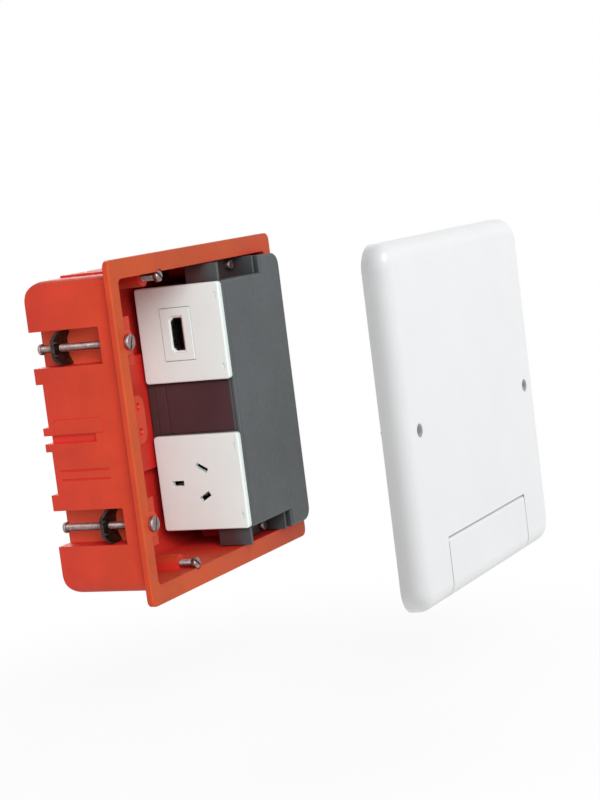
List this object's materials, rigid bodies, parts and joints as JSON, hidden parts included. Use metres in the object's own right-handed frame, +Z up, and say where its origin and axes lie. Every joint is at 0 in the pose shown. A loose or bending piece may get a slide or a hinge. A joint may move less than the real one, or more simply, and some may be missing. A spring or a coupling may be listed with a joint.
{
  "type": "flush back box",
  "caption": "Flush wall back box with clamp screws and claws, an equipment insert with a data and a power module, and a domed cover plate with a cable flap held off in front.",
  "frame": {"origin": "middle of the box opening, in the plane of the flange's rear face, which lies on the wall; the centre of the two cover screw holes", "axes": "+X to the right as seen from the room, +Y into the wall, +Z up"},
  "size_m": [0.1746, 0.166, 0.1602],
  "materials": {
    "box_plastic": "moulded, satin",
    "screw_steel": "zinc plated",
    "claw_steel": "pressed, oiled",
    "insert_plastic": "moulded, fine texture",
    "blank_plastic": "moulded, matt",
    "module_plastic": "moulded, soft gloss",
    "module_body_plastic": "moulded, matt",
    "socket_metal": "tinned",
    "socket_insulator": "moulded, matt",
    "contact_metal": "plated",
    "terminal_brass": "turned",
    "terminal_screw_steel": "zinc plated",
    "cover_plastic": "moulded, soft gloss"
  },
  "bodies": {
    "box": {"back_box": "box_plastic", "box_screw_top": "screw_steel", "box_screw_bottom": "screw_steel", "insert_screw_top": "screw_steel", "insert_screw_bottom": "screw_steel", "cover_screw_left": "screw_steel", "cover_screw_right": "screw_steel", "insert_housing": "insert_plastic", "side_frame": "insert_plastic", "blank_strip": "blank_plastic", "data_module_plate": "module_plastic", "keystone_carrier": "module_plastic", "power_module_plate": "module_plastic", "data_module_frame": "module_body_plastic", "power_module_body": "module_body_plastic", "data_socket_shell": "socket_metal", "data_rear_shell": "socket_metal", "data_socket_tongue": "socket_insulator", "data_rear_tongue": "socket_insulator", "data_adapter_body": "socket_insulator", "data_socket_contacts": "contact_metal", "earth_contact": "terminal_brass", "active_contact": "terminal_brass", "neutral_contact": "terminal_brass", "earth_terminal": "terminal_brass", "active_terminal": "terminal_brass", "neutral_terminal": "terminal_brass", "earth_terminal_screw": "terminal_screw_steel", "active_terminal_screw": "terminal_screw_steel", "neutral_terminal_screw": "terminal_screw_steel", "cover_plate": "cover_plastic"},
    "flap": {"cover_flap": "cover_plastic"},
    "claw_upper_left": {"clamp_claw_upper_left": "claw_steel"},
    "screw_upper_left": {"clamp_screw_upper_left": "screw_steel"},
    "claw_upper_right": {"clamp_claw_upper_right": "claw_steel"},
    "screw_upper_right": {"clamp_screw_upper_right": "screw_steel"},
    "claw_lower_left": {"clamp_claw_lower_left": "claw_steel"},
    "screw_lower_left": {"clamp_screw_lower_left": "screw_steel"},
    "claw_lower_right": {"clamp_claw_lower_right": "claw_steel"},
    "screw_lower_right": {"clamp_screw_lower_right": "screw_steel"}
  },
  "joints": [
    {"name": "flap_hinge", "type": "hinge", "parent": "box", "child": "flap", "pos_m": [0.0206, -0.12, -0.0607], "axis": [-1, 0, 0], "range_deg": [0, 90]},
    {"name": "claw_slide_upper_left", "type": "slide", "parent": "box", "child": "claw_upper_left", "axis": [0, -1, 0], "range_m": [-0.0064, 0.019]},
    {"name": "screw_turn_upper_left", "type": "hinge", "parent": "box", "child": "screw_upper_left", "pos_m": [-0.0675, -0.003, 0.0395], "axis": [0, 1, 0], "range_deg": [-3930, 11490]},
    {"name": "claw_slide_upper_right", "type": "slide", "parent": "box", "child": "claw_upper_right", "axis": [0, -1, 0], "range_m": [-0.0064, 0.019]},
    {"name": "screw_turn_upper_right", "type": "hinge", "parent": "box", "child": "screw_upper_right", "pos_m": [0.0675, -0.003, 0.0395], "axis": [0, 1, 0], "range_deg": [-3930, 11490]},
    {"name": "claw_slide_lower_left", "type": "slide", "parent": "box", "child": "claw_lower_left", "axis": [0, -1, 0], "range_m": [-0.0188, 0.0065]},
    {"name": "screw_turn_lower_left", "type": "hinge", "parent": "box", "child": "screw_lower_left", "pos_m": [-0.0675, -0.003, -0.0395], "axis": [0, 1, 0], "range_deg": [-11370, 3990]},
    {"name": "claw_slide_lower_right", "type": "slide", "parent": "box", "child": "claw_lower_right", "axis": [0, -1, 0], "range_m": [-0.0188, 0.0065]},
    {"name": "screw_turn_lower_right", "type": "hinge", "parent": "box", "child": "screw_lower_right", "pos_m": [0.0675, -0.003, -0.0395], "axis": [0, 1, 0], "range_deg": [-11370, 3990]}
  ],
  "couplings": [
    {"joint": "screw_turn_upper_left", "follows": "claw_slide_upper_left", "rad_per_m": 10472},
    {"joint": "screw_turn_upper_right", "follows": "claw_slide_upper_right", "rad_per_m": 10472},
    {"joint": "screw_turn_lower_left", "follows": "claw_slide_lower_left", "rad_per_m": 10472},
    {"joint": "screw_turn_lower_right", "follows": "claw_slide_lower_right", "rad_per_m": 10472}
  ]
}
